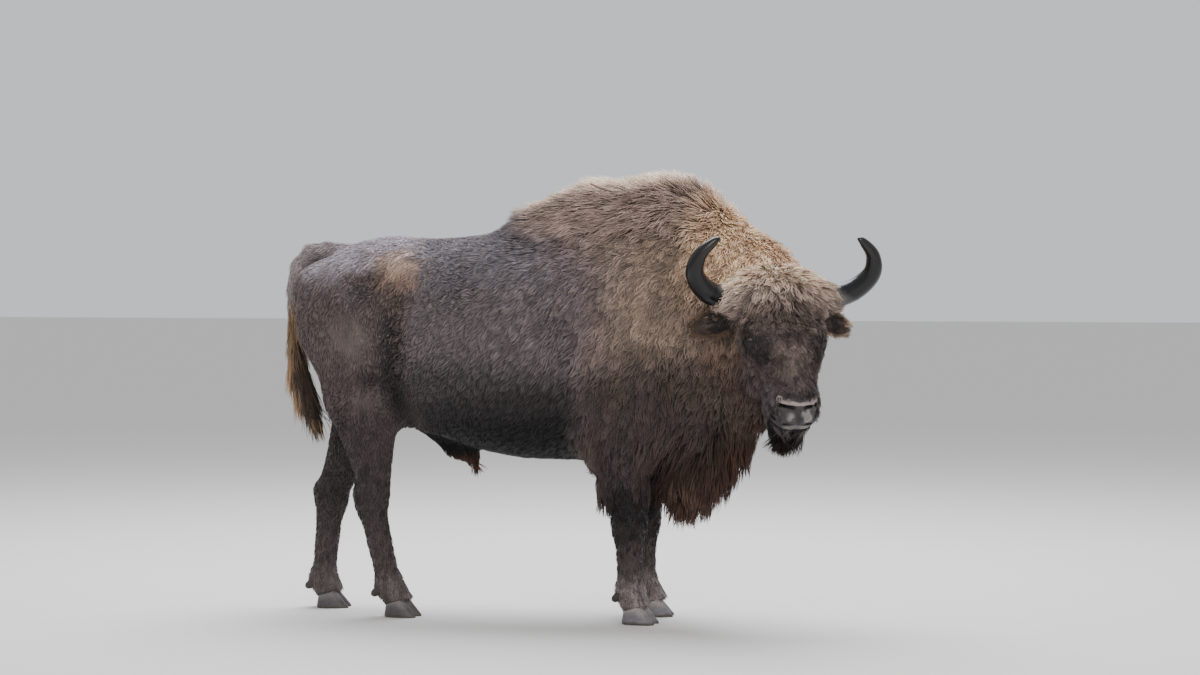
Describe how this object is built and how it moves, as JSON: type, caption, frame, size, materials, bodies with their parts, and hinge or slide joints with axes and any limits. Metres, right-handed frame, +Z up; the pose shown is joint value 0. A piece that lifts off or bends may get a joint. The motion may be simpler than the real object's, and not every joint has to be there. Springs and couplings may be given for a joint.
{
  "type": "wisent",
  "caption": "Life-size standing European bison bull with a high woolly hump, short upcurved horns, throat mane and its head turned to the right, a still display animal.",
  "frame": {"origin": "on the floor, under the middle of the whole animal's box", "axes": "+X the way the body faces, +Y the animal's left, +Z up"},
  "size_m": [2.4648, 0.8966, 1.7683],
  "materials": {
    "body_coat": "grizzled, grey-brown short winter coat, matt",
    "hump_coat": "soft, standing, light brown woolly coat, matt",
    "mane_coat": "long shaggy brown throat hair, matt",
    "leg_coat": "short close dark brown coat, matt",
    "head_coat": "long curly grey-tan forelock over a dark face, matt",
    "beard": "black beard and lower lip, matt",
    "muzzle_skin": "bare dark moist skin round the nostrils with short hair behind",
    "tail_coat": "short brown coat, matt",
    "tail_tuft": "long golden brown hair, soft",
    "horn": "black polished horn, greyer and ringed at the base",
    "hoof": "grey worn hoof horn",
    "eye": "wet dark brown eye"
  },
  "bodies": {
    "root": {"horn_left": "horn", "ear_left": "head_coat", "eye_left": "eye", "horn_right": "horn", "ear_right": "head_coat", "eye_right": "eye", "head": "head_coat", "muzzle": "muzzle_skin", "lower_jaw": "beard", "hindquarters": "body_coat", "trunk": "body_coat", "shoulders": "hump_coat", "neck": "hump_coat", "throat_mane": "mane_coat", "sheath": "body_coat", "hindleg_right_upper": "leg_coat", "hindleg_right_lower": "leg_coat", "hindleg_right_pastern": "leg_coat", "hindleg_right_claw_inner": "hoof", "hindleg_right_dewclaw_inner": "hoof", "hindleg_right_claw_outer": "hoof", "hindleg_right_dewclaw_outer": "hoof", "hindleg_left_upper": "leg_coat", "hindleg_left_lower": "leg_coat", "hindleg_left_pastern": "leg_coat", "hindleg_left_claw_inner": "hoof", "hindleg_left_dewclaw_inner": "hoof", "hindleg_left_claw_outer": "hoof", "hindleg_left_dewclaw_outer": "hoof", "foreleg_right_upper": "leg_coat", "foreleg_right_lower": "leg_coat", "foreleg_right_pastern": "leg_coat", "foreleg_right_claw_inner": "hoof", "foreleg_right_dewclaw_inner": "hoof", "foreleg_right_claw_outer": "hoof", "foreleg_right_dewclaw_outer": "hoof", "foreleg_left_upper": "leg_coat", "foreleg_left_lower": "leg_coat", "foreleg_left_pastern": "leg_coat", "foreleg_left_claw_inner": "hoof", "foreleg_left_dewclaw_inner": "hoof", "foreleg_left_claw_outer": "hoof", "foreleg_left_dewclaw_outer": "hoof", "tail": "tail_coat", "tail_tuft": "tail_tuft"}
  },
  "joints": []
}
